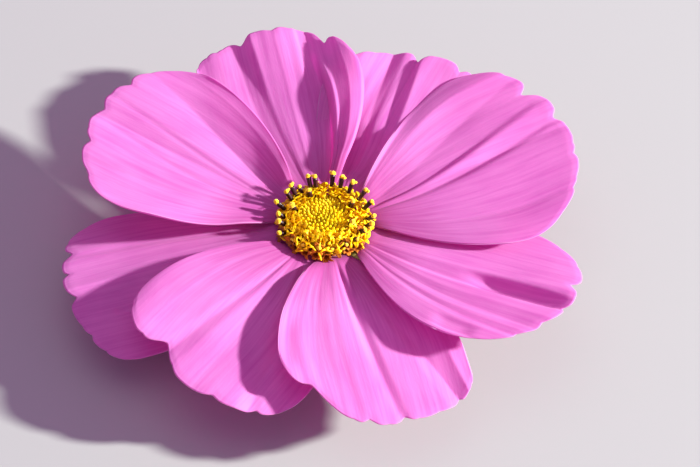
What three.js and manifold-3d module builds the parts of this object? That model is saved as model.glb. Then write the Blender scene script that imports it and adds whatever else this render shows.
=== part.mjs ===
// A cosmos flower head, picked with a short stub of stalk and lying face up.
// Millimetres, +Z up. The flower's axis is the Z axis, and the surface that it
// lies on is z = 0: the cut end of the stub and the tips of the outer bracts
// touch it. Azimuths run counter-clockwise from +X, seen from above.
import * as THREE from 'three';
import { mergeVertices } from 'three/addons/utils/BufferGeometryUtils.js';
import Module from 'manifold-3d';

const wasm = await Module();
wasm.setup();

// Driving dimensions.
const GAP = 0.3; // between pieces that touch on the plant
const SHELF_Z = 6.9; // top of the receptacle, which carries every petal
const SEAT_Z = SHELF_Z + GAP;

const CLAW_FOOT_U = 4.75; // where a petal's narrow claw stands, from the axis
const CLAW_HALF_WIDTH = 1.3;
const CLAW_RISE = 3.0; // the claw bends outwards over this height
const CLAW_REACH = 3.25; // and over this distance
const CLAW_LENGTH = 5.0; // measured along the bend
const BLADE_U = CLAW_FOOT_U + CLAW_REACH;
const BLADE_Z = SEAT_Z + CLAW_RISE;
const WIDEN_U = 6.3; // the blade starts to widen here
const PETAL_THICKNESS = 0.6;
const LAYER_STEP = 0.3; // lifts one petal's margin over the next
const DROOP_SPAN = 33.0; // length over which a petal's bend is stated

const DISC_FOOT_R = 3.95;
const DISC_TOP_Z = 12.9;
const STALK_R = 1.3;

// One petal per row. az is its azimuth and reach its tip, from the axis. left
// and right are its half-widths, seen from the disc, at the distance widest.
// leftEnd and rightEnd say how far out the rounded corners start. leftSlope and
// rightSlope tilt each half over (+) or under (-) the neighbour. rise tilts the
// petal in degrees and bend curves its tip up. leftCurl and rightCurl lift the
// margins. notches are [place across, depth, width] and folds are
// [place across, height, width], with the place across from -1 to 1.
const PETALS = [
  {
    name: 'petal_1', az: 24, reach: 40.9, skew: 0, left: 16.6, right: 18.4, leftEnd: 28, rightEnd: 22,
    widest: 31, leftSlope: 0.12, rightSlope: 0.05, rise: 4, bend: 1.0, leftCurl: 0, rightCurl: -1.0,
    notches: [[0.28, 1.7, 0.06], [0.06, 0.9, 0.05], [-0.22, 1.2, 0.06]],
    folds: [[0.2, -1.3, 0.1], [0.42, 0.8, 0.14], [0.02, 0.6, 0.08]],
  },
  {
    name: 'petal_2', az: 64, reach: 38.8, skew: -0.4, left: 13, right: 13, leftEnd: 23, rightEnd: 30,
    widest: 31, leftSlope: -0.12, rightSlope: -0.1, rise: 2, bend: 0, leftCurl: 0, rightCurl: 0,
    notches: [[0.03, 2.0, 0.05]],
    folds: [[0.05, -1.2, 0.1], [0.3, 0.7, 0.12]],
  },
  {
    name: 'petal_3', az: 102, reach: 39.8, skew: 0, left: 13.7, right: 11.8, leftEnd: 34, rightEnd: 24,
    widest: 30, leftSlope: -0.12, rightSlope: 0.1, rise: 2, bend: 0.5, leftCurl: 0, rightCurl: 4.0,
    notches: [[-0.42, 2.4, 0.05], [0.27, 1.0, 0.05], [0.01, 0.7, 0.04]],
    folds: [[0.22, 1.0, 0.1], [0.38, -0.8, 0.1]],
  },
  {
    name: 'petal_4', az: 151, reach: 40.9, skew: 0, left: 15.4, right: 14.8, leftEnd: 23, rightEnd: 27,
    widest: 31, leftSlope: 0.08, rightSlope: 0.12, rise: 4, bend: 1.0, leftCurl: 0, rightCurl: 2.0,
    notches: [[0.23, 1.2, 0.06], [-0.06, 1.1, 0.05], [-0.35, 1.0, 0.05]],
    folds: [[-0.42, 1.0, 0.1], [-0.66, -0.9, 0.1]],
  },
  {
    name: 'petal_5', az: 196.5, reach: 40.7, skew: 0, left: 14.0, right: 13.8, leftEnd: 31, rightEnd: 31,
    widest: 31, leftSlope: -0.13, rightSlope: -0.14, rise: -2, bend: -1.0, leftCurl: 0, rightCurl: 0,
    notches: [[-0.33, 1.2, 0.05], [0.04, 1.2, 0.05]],
    folds: [[0.02, -0.7, 0.1]],
  },
  {
    name: 'petal_6', az: 235, reach: 37.0, skew: 0.5, left: 15.4, right: 14.7, leftEnd: 27, rightEnd: 25,
    widest: 27, leftSlope: -0.12, rightSlope: 0.12, rise: 1, bend: 0, leftCurl: 0, rightCurl: 0.8,
    notches: [[-0.25, 3.4, 0.13]],
    folds: [[-0.25, 0.9, 0.12]],
  },
  {
    name: 'petal_7', az: 283, reach: 39.4, skew: 0, left: 15.4, right: 13.0, leftEnd: 32, rightEnd: 24,
    widest: 27, leftSlope: -0.12, rightSlope: 0.1, rise: 1, bend: -1.0, leftCurl: 0, rightCurl: 0,
    notches: [[0.14, 1.1, 0.05], [-0.1, 1.6, 0.06], [-0.5, 3.8, 0.2]],
    folds: [[0.34, 0.9, 0.1], [0.12, -0.8, 0.09], [-0.12, 0.9, 0.1], [-0.36, -0.7, 0.1]],
  },
  {
    name: 'petal_8', az: 336, reach: 40.8, skew: 0.5, left: 12.6, right: 14.0, leftEnd: 31, rightEnd: 26,
    widest: 28, leftSlope: -0.15, rightSlope: 0.12, rise: 2, bend: 0.5, leftCurl: 0, rightCurl: 0,
    notches: [[0.14, 1.4, 0.05], [-0.1, 0.8, 0.04]],
    folds: [[0.2, 0.8, 0.1], [0.0, -0.8, 0.1], [-0.24, 0.8, 0.1]],
  },
];

// Colours of the surfaces, as they look in plain daylight.
const PETAL_LOOK = { color: '#e79ce0', roughness: 0.6, metalness: 0 };
const DISC_LOOK = { color: '#e3c21c', roughness: 0.7, metalness: 0 };
const INNER_BRACT_LOOK = { color: '#a9b25a', roughness: 0.5, metalness: 0 };
const CALYX_LOOK = { color: '#4f7a37', roughness: 0.6, metalness: 0 };

const radians = THREE.MathUtils.degToRad;

function smooth(from, to, value) {
  const x = THREE.MathUtils.clamp((value - from) / (to - from), 0, 1);
  return x * x * (3 - 2 * x);
}

function bump(place, width, value) {
  return Math.exp(-(((value - place) / width) ** 2));
}

// Where a petal ends, from the axis, at a place across it.
function petalEnd(petal, across) {
  const corner = across >= 0 ? petal.leftEnd : petal.rightEnd;
  const lean = petal.skew * Math.sin((across * Math.PI) / 2);
  const round = Math.abs(Math.cos((across * Math.PI) / 2)) ** 0.9;
  let end = corner + (petal.reach + lean - corner) * round;
  for (const [place, depth, width] of petal.notches) {
    end -= depth * bump(place, width, across);
  }
  return end;
}

// A point of a petal's middle surface: along from 0 at its foot to 1 at its
// end, and across from -1 at its right margin to 1 at its left margin.
function petalPoint(petal, along, across) {
  const leftHalf = across >= 0;
  const run = along * (CLAW_LENGTH + petalEnd(petal, across) - BLADE_U);
  const turn = (Math.min(run / CLAW_LENGTH, 1) * Math.PI) / 2;
  const bladeRun = Math.max(run - CLAW_LENGTH, 0);
  const u = CLAW_FOOT_U + CLAW_REACH * (1 - Math.cos(turn)) + bladeRun;
  const fullness = THREE.MathUtils.clamp((u - WIDEN_U) / (petal.widest - WIDEN_U), 0, 1);
  const widest = leftHalf ? petal.left : petal.right;
  const halfWidth = CLAW_HALF_WIDTH + (widest - CLAW_HALF_WIDTH) * Math.sin((fullness * Math.PI) / 2);
  const v = halfWidth * Math.sin((across * Math.PI) / 2);

  const slope = leftHalf ? petal.leftSlope : petal.rightSlope;
  const curl = leftHalf ? petal.leftCurl : petal.rightCurl;
  const side = Math.abs(v);
  let z = SEAT_Z + CLAW_RISE * Math.sin(turn);
  z += Math.tan(radians(petal.rise)) * bladeRun + petal.bend * (bladeRun / DROOP_SPAN) ** 2;
  z += smooth(5.5, 9, u) * (slope * side + Math.sign(slope) * LAYER_STEP * Math.tanh(side / 2.5));
  z += curl * smooth(0.35, 1, Math.abs(across)) * smooth(9, 26, u);
  for (const [place, height, width] of petal.folds) {
    z += height * bump(place, width, across) * smooth(8, 25, u);
  }
  const az = radians(petal.az);
  return new THREE.Vector3(
    u * Math.cos(az) - v * Math.sin(az),
    u * Math.sin(az) + v * Math.cos(az),
    z,
  );
}

// A closed thin body from a middle surface. rows and columns are the stations
// along and across, and thickness is a number or a function of both.
function thinBody(surface, rows, columns, thickness) {
  const step = 0.004;
  const positions = [];
  const faces = [];
  const width = columns.length;
  const count = rows.length * width;
  const sheets = [1, -1].map((sign) => {
    const points = [];
    for (const along of rows) {
      for (const across of columns) {
        const lowAlong = Math.max(along - step, 0);
        const highAlong = Math.min(along + step, 1);
        const lowAcross = Math.max(across - step, -1);
        const highAcross = Math.min(across + step, 1);
        const ahead = surface(highAlong, across).sub(surface(lowAlong, across));
        const aside = surface(along, highAcross).sub(surface(along, lowAcross));
        const normal = ahead.cross(aside).normalize();
        points.push(surface(along, across).addScaledVector(normal, (sign * thickness) / 2));
      }
    }
    return points;
  });
  for (const points of sheets) {
    for (const point of points) {
      positions.push(point.x, point.y, point.z);
    }
  }
  function quad(a, b, c, d) {
    faces.push(a, b, c, a, c, d);
  }
  for (let i = 0; i + 1 < rows.length; i += 1) {
    for (let j = 0; j + 1 < width; j += 1) {
      const a = i * width + j;
      const b = a + width;
      faces.push(a, b, b + 1, a, b + 1, a + 1);
      faces.push(a + count, b + 1 + count, b + count, a + count, a + 1 + count, b + 1 + count);
    }
  }
  for (let i = 0; i + 1 < rows.length; i += 1) {
    const low = i * width;
    const high = low + width - 1;
    quad(low + count, low + width + count, low + width, low);
    quad(high, high + width, high + width + count, high + count);
  }
  const last = (rows.length - 1) * width;
  for (let j = 0; j + 1 < width; j += 1) {
    quad(j, j + 1, j + 1 + count, j + count);
    quad(last + j + count, last + j + 1 + count, last + j + 1, last + j);
  }
  const geometry = new THREE.BufferGeometry();
  geometry.setAttribute('position', new THREE.Float32BufferAttribute(positions, 3));
  geometry.setIndex(faces);
  return geometry;
}

function evenly(count, from, to) {
  return Array.from({ length: count + 1 }, (_, i) => from + ((to - from) * i) / count);
}

// Stations across a petal: even ones, of which the nearest moves to each notch.
function petalColumns(petal) {
  const columns = evenly(14, -1, 1);
  for (const [place] of petal.notches) {
    let nearest = 1;
    for (let i = 1; i + 1 < columns.length; i += 1) {
      if (Math.abs(columns[i] - place) < Math.abs(columns[nearest] - place)) {
        nearest = i;
      }
    }
    columns[nearest] = place;
  }
  return columns;
}

const PETAL_ROWS = [0, 0.03, 0.06, 0.09, 0.12, 0.15, ...evenly(11, 0.2, 1)];

// Joining of closed solids.
function toSolid(geometry) {
  const bare = geometry.clone();
  bare.deleteAttribute('normal');
  bare.deleteAttribute('uv');
  const merged = mergeVertices(bare, 1e-5);
  return new wasm.Manifold(
    new wasm.Mesh({
      numProp: 3,
      vertProperties: new Float32Array(merged.attributes.position.array),
      triVerts: new Uint32Array(merged.index.array),
    }),
  );
}

function toGeometry(solid) {
  const mesh = solid.getMesh();
  const geometry = new THREE.BufferGeometry();
  geometry.setAttribute('position', new THREE.Float32BufferAttribute(Array.from(mesh.vertProperties), 3));
  geometry.setIndex(Array.from(mesh.triVerts));
  return geometry;
}

function fuse(geometries) {
  return toGeometry(geometries.map(toSolid).reduce((whole, next) => whole.add(next)));
}

function lathe(profile, sides) {
  return new THREE.LatheGeometry(profile.map(([r, z]) => new THREE.Vector2(r, z)), sides).rotateX(Math.PI / 2);
}

// Moves a piece made along +Z so that its foot is at a distance from the axis
// and a height, leaning outwards, at an azimuth.
function plant(geometry, az, r, z, leanDegrees, twist = 0) {
  return geometry
    .rotateZ(twist)
    .rotateY(radians(leanDegrees))
    .translate(r, 0, z)
    .rotateZ(radians(az));
}

// The stub of stalk, the receptacle it widens into and the spreading bracts
// below the flower, grown as one piece.
const RECEPTACLE_PROFILE = [
  [0, 0], [STALK_R, 0], [STALK_R, 1.9], [1.7, 2.8], [2.9, 3.7], [4.3, 4.5], [5.6, 5.5], [6.3, 6.4],
  [6.3, SHELF_Z], [0, SHELF_Z],
];
const OUTER_BRACT = {
  count: 8,
  firstAz: 22.5,
  thickness: 0.7,
  // Distance from the axis, height of the middle and half-width, root to tip.
  stations: [
    [2.9, 4.4, 1.35], [4.4, 4.4, 1.65], [6.0, 3.8, 1.8], [7.4, 2.6, 1.6], [8.7, 1.1, 1.2],
    [9.5, 0.35, 0.85], [10.1, 0.35, 0.6], [10.8, 0.35, 0.2],
  ],
  keel: 0.25, // the middle hangs this far below the margins
};

function stripPoint(stations, keel, along, across) {
  const place = along * (stations.length - 1);
  const i = Math.min(Math.floor(place), stations.length - 2);
  const mix = place - i;
  const [r, z, halfWidth] = stations[i].map((value, k) => value + (stations[i + 1][k] - value) * mix);
  const fade = 1 - smooth(0.55, 0.8, along);
  return new THREE.Vector3(r, halfWidth * across, z + keel * fade * (Math.abs(across) - 0.5));
}

function strip(stations, thickness, keel) {
  const rows = evenly(stations.length - 1, 0, 1);
  const surface = (along, across) => stripPoint(stations, keel, along, across);
  return thinBody(surface, rows, [-1, -0.5, 0, 0.5, 1], thickness);
}

function makeCalyx() {
  const pieces = [lathe(RECEPTACLE_PROFILE, 24)];
  for (let i = 0; i < OUTER_BRACT.count; i += 1) {
    const bract = strip(OUTER_BRACT.stations, OUTER_BRACT.thickness, OUTER_BRACT.keel);
    pieces.push(bract.rotateZ(radians(OUTER_BRACT.firstAz + (360 / OUTER_BRACT.count) * i)));
  }
  return fuse(pieces);
}

// The ring of thin inner bracts that stands on the receptacle outside the
// claws, with one tip in each gap between two petals.
const INNER_RING_PROFILE = [[5.55, SEAT_Z], [6.2, SEAT_Z], [6.2, 7.9], [5.6, 7.9], [5.55, SEAT_Z]];
const INNER_BRACT_THICKNESS = 0.6;
const LONG_TIP = [[5.87, 7.45, 1.5], [6.0, 8.0, 1.2], [6.4, 8.7, 0.75], [7.1, 9.3, 0.25]];
const SHORT_TIP = [[5.87, 7.45, 1.4], [5.95, 7.9, 1.0], [6.15, 8.3, 0.6], [6.5, 8.75, 0.2]];
const WIDE_GAP = 45.5; // degrees between two petals with room for a long tip

function makeInnerBracts() {
  const pieces = [lathe(INNER_RING_PROFILE, 32)];
  PETALS.forEach((petal, i) => {
    const next = PETALS[(i + 1) % PETALS.length];
    const turn = (next.az - petal.az + 360) % 360;
    const tip = strip(turn > WIDE_GAP ? LONG_TIP : SHORT_TIP, INNER_BRACT_THICKNESS, 0);
    pieces.push(tip.rotateZ(radians(petal.az + turn / 2)));
  });
  return fuse(pieces);
}

// The disc: a small core that the florets stand out of. Buds, still closed,
// fill its middle, and open florets in rings lean outwards round them.
const CORE_PROFILE = [
  [0, SEAT_Z], [DISC_FOOT_R, SEAT_Z], [DISC_FOOT_R, 8.4], [4.3, 9.4], [5.0, 10.4], [5.5, 11.0],
  [5.2, 11.6], [4.0, 12.1], [2.4, 12.4], [0, 12.5],
];
const FLORET_RINGS = {
  // Foot distance and height, lean in degrees and length of a floret's tube.
  spent: { r: 4.6, z: 9.9, lean: 60, length: 2.3 },
  outer: { r: 4.3, z: 10.1, lean: 36, length: 2.7 },
  inner: { r: 3.4, z: 11.0, lean: 21, length: 2.2 },
};
const SPENT_COUNT = 20;
const SPENT_FIRST_AZ = 9;
const INNER_COUNT = 15;
// Azimuths of the outer open florets. The far ones hold their dark anther
// column high, and the near ones have let it shrink back.
const TALL_ANTHER_AZIMUTHS = [-25, -9, 11, 30, 48, 64, 80, 96, 111, 127, 143, 158, 173, 189, 204];
const SHORT_ANTHER_AZIMUTHS = [221, 239, 257, 275, 293, 311];
const INNER_ANTHERS = [1, 3, 5, 6]; // which inner florets hold a column
const TALL_ANTHER = 4.7; // from the foot of the floret to the pollen
const SHORT_ANTHER = 3.6;
const INNER_ANTHER = 3.4;
const FLORET_SIDES = 5;
const FLORET_FOOT_R = 0.4;
const FLORET_MOUTH_R = 0.72;
const ANTHER_SIDES = 4;
const ANTHER_R = 0.32;
const POLLEN_R = 0.56;
const BUD_R = 0.5;
const BUD_TIP_R = 0.2;
const BUD_HEIGHT = 1.6;
const BUD_SPACING = 1.05;
const BUD_FIELD_R = 2.8;
const DOME_FALL = 0.04; // the buds' tops fall by this times the distance squared

function makeFloret(length) {
  const tube = new THREE.CylinderGeometry(FLORET_MOUTH_R, FLORET_FOOT_R, length, FLORET_SIDES);
  return tube.rotateX(Math.PI / 2).translate(0, 0, length / 2);
}

function makeAnther(length) {
  const column = new THREE.CylinderGeometry(ANTHER_R, ANTHER_R, length, ANTHER_SIDES);
  const pollen = new THREE.OctahedronGeometry(POLLEN_R, 0).translate(0, 0, length);
  return [column.rotateX(Math.PI / 2).translate(0, 0, length / 2), pollen];
}

function openFloret(ring, az, anther) {
  const pieces = [makeFloret(ring.length)];
  if (anther > 0) {
    pieces.push(...makeAnther(anther));
  }
  return pieces.map((piece) => plant(piece, az, ring.r, ring.z, ring.lean, radians(az * 3)));
}

function makeBuds() {
  const buds = [];
  const rowStep = (BUD_SPACING * Math.sqrt(3)) / 2;
  const reach = Math.ceil(BUD_FIELD_R / rowStep);
  for (let row = -reach; row <= reach; row += 1) {
    for (let column = -reach; column <= reach; column += 1) {
      const x = (column + (row % 2 === 0 ? 0 : 0.5)) * BUD_SPACING;
      const y = row * rowStep;
      const away = Math.hypot(x, y);
      if (away <= BUD_FIELD_R) {
        const bud = new THREE.CylinderGeometry(BUD_TIP_R, BUD_R, BUD_HEIGHT, FLORET_SIDES);
        const z = DISC_TOP_Z - BUD_HEIGHT / 2 - DOME_FALL * away * away;
        buds.push(bud.rotateX(Math.PI / 2).translate(x, y, z));
      }
    }
  }
  return buds;
}

function makeDisc() {
  const pieces = [lathe(CORE_PROFILE, 20), ...makeBuds()];
  for (let i = 0; i < SPENT_COUNT; i += 1) {
    pieces.push(...openFloret(FLORET_RINGS.spent, SPENT_FIRST_AZ + (360 / SPENT_COUNT) * i, 0));
  }
  for (const az of TALL_ANTHER_AZIMUTHS) {
    pieces.push(...openFloret(FLORET_RINGS.outer, az, TALL_ANTHER));
  }
  for (const az of SHORT_ANTHER_AZIMUTHS) {
    pieces.push(...openFloret(FLORET_RINGS.outer, az, SHORT_ANTHER));
  }
  for (let i = 0; i < INNER_COUNT; i += 1) {
    const anther = INNER_ANTHERS.includes(i) ? INNER_ANTHER : 0;
    pieces.push(...openFloret(FLORET_RINGS.inner, (360 / INNER_COUNT) * i, anther));
  }
  return fuse(pieces);
}

function makeMesh(name, geometry, look) {
  geometry.computeVertexNormals();
  const mesh = new THREE.Mesh(geometry, new THREE.MeshStandardMaterial(look));
  mesh.name = name;
  return mesh;
}

const flower = new THREE.Group();
flower.name = 'cosmos_flower';
flower.add(makeMesh('stalk_and_outer_bracts', makeCalyx(), CALYX_LOOK));
flower.add(makeMesh('inner_bracts', makeInnerBracts(), INNER_BRACT_LOOK));
flower.add(makeMesh('disc_florets', makeDisc(), DISC_LOOK));
for (const petal of PETALS) {
  const surface = (along, across) => petalPoint(petal, along, across);
  const body = thinBody(surface, PETAL_ROWS, petalColumns(petal), PETAL_THICKNESS);
  flower.add(makeMesh(petal.name, body, PETAL_LOOK));
}

export default flower;
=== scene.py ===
"""Surfaces, light and camera for a cosmos flower head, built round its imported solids.

Run as a script. Every size is in millimetres until a mesh is made, where it turns to metres.
"""

import math
from typing import NamedTuple

import bpy
import numpy as np
from bpy.props import FloatProperty, FloatVectorProperty, IntProperty, PointerProperty
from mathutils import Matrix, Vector


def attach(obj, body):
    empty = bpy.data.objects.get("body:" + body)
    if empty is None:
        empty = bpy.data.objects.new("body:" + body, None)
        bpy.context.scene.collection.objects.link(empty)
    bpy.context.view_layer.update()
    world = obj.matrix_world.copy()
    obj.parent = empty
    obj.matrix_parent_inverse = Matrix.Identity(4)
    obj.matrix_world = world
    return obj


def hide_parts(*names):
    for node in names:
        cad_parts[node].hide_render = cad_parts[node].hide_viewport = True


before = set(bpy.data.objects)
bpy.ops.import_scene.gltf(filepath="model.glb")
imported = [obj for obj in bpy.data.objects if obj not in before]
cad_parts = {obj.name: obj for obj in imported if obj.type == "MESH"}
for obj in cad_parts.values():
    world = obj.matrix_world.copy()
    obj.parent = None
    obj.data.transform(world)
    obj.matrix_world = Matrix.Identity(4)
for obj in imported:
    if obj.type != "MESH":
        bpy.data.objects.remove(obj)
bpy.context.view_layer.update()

bl_info = {
    "name": "Cosmos flower head",
    "version": (1, 0, 0),
    "blender": (4, 5, 0),
    "location": "View3D > Sidebar > Cosmos",
    "description": "Builds the petals, disc, bracts and stage of a cosmos flower head",
    "category": "Add Mesh",
}

MM = 0.001
BODY = "root"

# Sizes shared with the solids.
SEAT_Z = 7.2
CLAW_FOOT_U = 4.75
CLAW_HALF_WIDTH = 1.3
CLAW_RISE = 3.0
CLAW_REACH = 3.25
CLAW_LENGTH = 5.0
BLADE_U = CLAW_FOOT_U + CLAW_REACH
LAYER_STEP = 0.3  # lifts one petal's margin over the next
DROOP_SPAN = 33.0  # length over which a petal's bend is stated
DISC_TOP_Z = 12.9
RECEPTACLE_TOP_Z = 6.9

# Seeds of the random numbers.
PETAL_SEED = 100
VEIN_SEED = 300
BUD_SEED = 7
FLORET_SEED = 21
INNER_BRACT_SEED = 5
OUTER_BRACT_SEED = 9

WIDEN_U = 5.4  # a petal starts to widen here, a little nearer to the disc than its solid
PETAL_SPAN = 30.0  # distance over which a crease goes from its place at the foot to the one at the tip
CREASE_BOW = 1.5  # above 1, a crease bends most of its way out
CREASE_SOFTNESS = 0.01  # share of a petal's width over which a crease is rounded


class Petal(NamedTuple):
    """One petal. Distances are from the axis, and pairs are (left, right), seen from the disc.

    A place across runs from -1 at the right margin to 1 at the left one. creases are the lines
    that the petal is folded along, from left to right, and it is nearly straight between two of
    them: (place at the foot, place at the tip, height near the disc, halfway, at the tip).
    """

    name: str
    az: float
    reach: float  # where the tip ends
    skew: float  # added to the reach at the left margin and taken off it at the right one
    halves: tuple  # half-widths at the distance widest
    ends: tuple  # how far out the rounded corners start
    widest: float
    slopes: tuple  # tilt of each half over (+) or under (-) the neighbour
    rise: float  # tilt of the whole petal, in degrees
    bend: float  # how far the tip curves up
    notches: tuple  # (place across, depth, width)
    creases: tuple
    dents: tuple = ()  # (place across, distance, depth, width across, length)
    shoulders: tuple = (0.85, 0.85)  # how fast it widens: below 1, early on


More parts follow.
